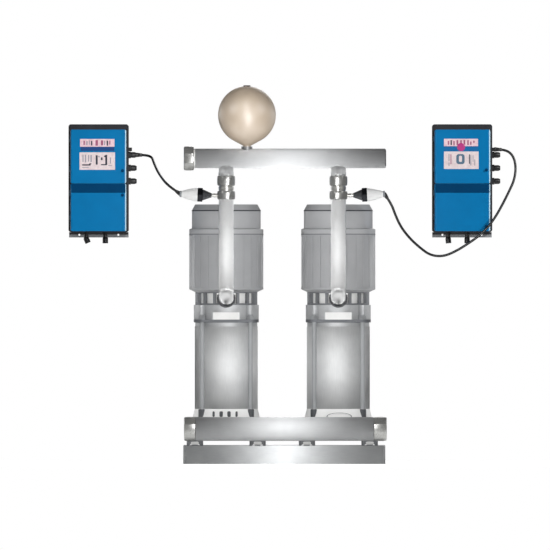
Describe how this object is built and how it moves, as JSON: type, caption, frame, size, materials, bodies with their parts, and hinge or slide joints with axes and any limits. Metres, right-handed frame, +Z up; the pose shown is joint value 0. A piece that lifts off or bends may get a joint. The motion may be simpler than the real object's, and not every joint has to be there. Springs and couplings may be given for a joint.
{
  "type": "booster pump set",
  "caption": "Vertical multistage pumps on a base frame with suction and discharge manifolds, check valves, pressure vessel and wall drives.",
  "frame": {"origin": "floor plane at the centre of the four anchor holes of the base frame, midway between the pumps", "axes": "+X to the right along the manifolds, +Y from the front towards the wall, +Z up along the pump shafts"},
  "size_m": [1.605, 0.506, 1.349],
  "materials": {
    "brushed_stainless": "brushed",
    "satin_stainless": "satin",
    "zinc_steel": "zinc plated",
    "nickel_brass": "nickel plated",
    "cast_iron_grey": "painted casting",
    "motor_paint": "painted",
    "sheet_paint": "painted",
    "core_steel": "laminated",
    "carbon_seal": "lapped",
    "black_plastic": "moulded",
    "drive_housing": "moulded",
    "drive_blue": "moulded",
    "board": "printed board",
    "beige_paint": "satin paint",
    "rubber": "moulded",
    "sensor_grey": "moulded",
    "spring_steel": "drawn wire",
    "cable_black": "extruded"
  },
  "bodies": {
    "set": {"base_frame": "brushed_stainless", "foot_bolts": "zinc_steel", "suction_manifold": "brushed_stainless", "discharge_manifold": "brushed_stainless", "manifold_end_sockets": "nickel_brass", "pump_sleeves": "satin_stainless", "chamber_stacks": "satin_stainless", "staybolts": "zinc_steel", "coupling_guards": "satin_stainless", "motor_end_shields": "motor_paint", "stator_cores": "core_steel", "motor_bearings": "core_steel", "shaft_seals": "carbon_seal", "terminal_boxes": "motor_paint", "check_valve_caps": "nickel_brass", "vessel_upper_shell": "beige_paint", "vessel_lower_shell": "beige_paint", "vessel_membrane": "rubber", "vessel_valve_cap": "black_plastic", "drive_boards": "board", "cable_glands": "black_plastic", "hinge_pins": "zinc_steel", "pump_base_left": "cast_iron_grey", "pump_head_left": "cast_iron_grey", "motor_housing_left": "motor_paint", "fan_cowl_left": "sheet_paint", "riser_pipe_left": "satin_stainless", "check_valve_body_left": "nickel_brass", "pressure_transmitter_left": "sensor_grey", "drive_housing_left": "drive_housing", "sensor_cable_left": "cable_black", "pump_base_right": "cast_iron_grey", "pump_head_right": "cast_iron_grey", "motor_housing_right": "motor_paint", "fan_cowl_right": "sheet_paint", "riser_pipe_right": "satin_stainless", "check_valve_body_right": "nickel_brass", "pressure_transmitter_right": "sensor_grey", "drive_housing_right": "drive_housing", "sensor_cable_right": "cable_black"},
    "left_rotor": {"impeller_stack_left": "satin_stainless", "shaft_coupling_left": "zinc_steel", "motor_rotor_left": "core_steel", "motor_fan_left": "black_plastic"},
    "left_poppet": {"valve_poppet_left": "nickel_brass", "valve_spring_left": "spring_steel"},
    "left_upper_door": {"left_upper_cover": "drive_blue"},
    "left_upper_turnlock": {"left_upper_latch": "black_plastic"},
    "left_lower_door": {"left_lower_cover": "drive_blue"},
    "left_lower_turnlock": {"left_lower_latch": "black_plastic"},
    "right_rotor": {"impeller_stack_right": "satin_stainless", "shaft_coupling_right": "zinc_steel", "motor_rotor_right": "core_steel", "motor_fan_right": "black_plastic"},
    "right_poppet": {"valve_poppet_right": "nickel_brass", "valve_spring_right": "spring_steel"},
    "right_upper_door": {"right_upper_cover": "drive_blue"},
    "right_upper_turnlock": {"right_upper_latch": "black_plastic"},
    "right_lower_door": {"right_lower_cover": "drive_blue"},
    "right_lower_turnlock": {"right_lower_latch": "black_plastic"}
  },
  "joints": [
    {"name": "left_rotor_spin", "type": "hinge", "parent": "set", "child": "left_rotor", "pos_m": [-0.2, 0, 0.568], "axis": [0, 0, 1], "continuous": true},
    {"name": "left_poppet_lift", "type": "slide", "parent": "set", "child": "left_poppet", "axis": [0, 0, 1], "range_m": [0, 0.008], "stiffness_N_per_m": 300, "springref_m": -0.004, "deforming": ["valve_spring_left"]},
    {"name": "left_upper_door_hinge", "type": "hinge", "parent": "set", "child": "left_upper_door", "pos_m": [-0.7616, 0.1125, 1], "axis": [0, 0, -1], "range_deg": [0, 110]},
    {"name": "left_upper_latch_turn", "type": "hinge", "parent": "left_upper_door", "child": "left_upper_turnlock", "pos_m": [-0.5716, 0.062, 1.046], "axis": [0, -1, 0], "range_deg": [0, 90]},
    {"name": "left_lower_door_hinge", "type": "hinge", "parent": "set", "child": "left_lower_door", "pos_m": [-0.7616, 0.1125, 1], "axis": [0, 0, -1], "range_deg": [0, 110]},
    {"name": "left_lower_latch_turn", "type": "hinge", "parent": "left_lower_door", "child": "left_lower_turnlock", "pos_m": [-0.5716, 0.062, 0.959], "axis": [0, -1, 0], "range_deg": [0, 90]},
    {"name": "right_rotor_spin", "type": "hinge", "parent": "set", "child": "right_rotor", "pos_m": [0.2, 0, 0.568], "axis": [0, 0, 1], "continuous": true},
    {"name": "right_poppet_lift", "type": "slide", "parent": "set", "child": "right_poppet", "axis": [0, 0, 1], "range_m": [0, 0.008], "stiffness_N_per_m": 300, "springref_m": -0.004, "deforming": ["valve_spring_right"]},
    {"name": "right_upper_door_hinge", "type": "hinge", "parent": "set", "child": "right_upper_door", "pos_m": [0.5402, 0.1125, 1], "axis": [0, 0, -1], "range_deg": [0, 110]},
    {"name": "right_upper_latch_turn", "type": "hinge", "parent": "right_upper_door", "child": "right_upper_turnlock", "pos_m": [0.7302, 0.062, 1.049], "axis": [0, -1, 0], "range_deg": [0, 90]},
    {"name": "right_lower_door_hinge", "type": "hinge", "parent": "set", "child": "right_lower_door", "pos_m": [0.5402, 0.1125, 1], "axis": [0, 0, -1], "range_deg": [0, 110]},
    {"name": "right_lower_latch_turn", "type": "hinge", "parent": "right_lower_door", "child": "right_lower_turnlock", "pos_m": [0.7302, 0.062, 0.846], "axis": [0, -1, 0], "range_deg": [0, 90]}
  ]
}
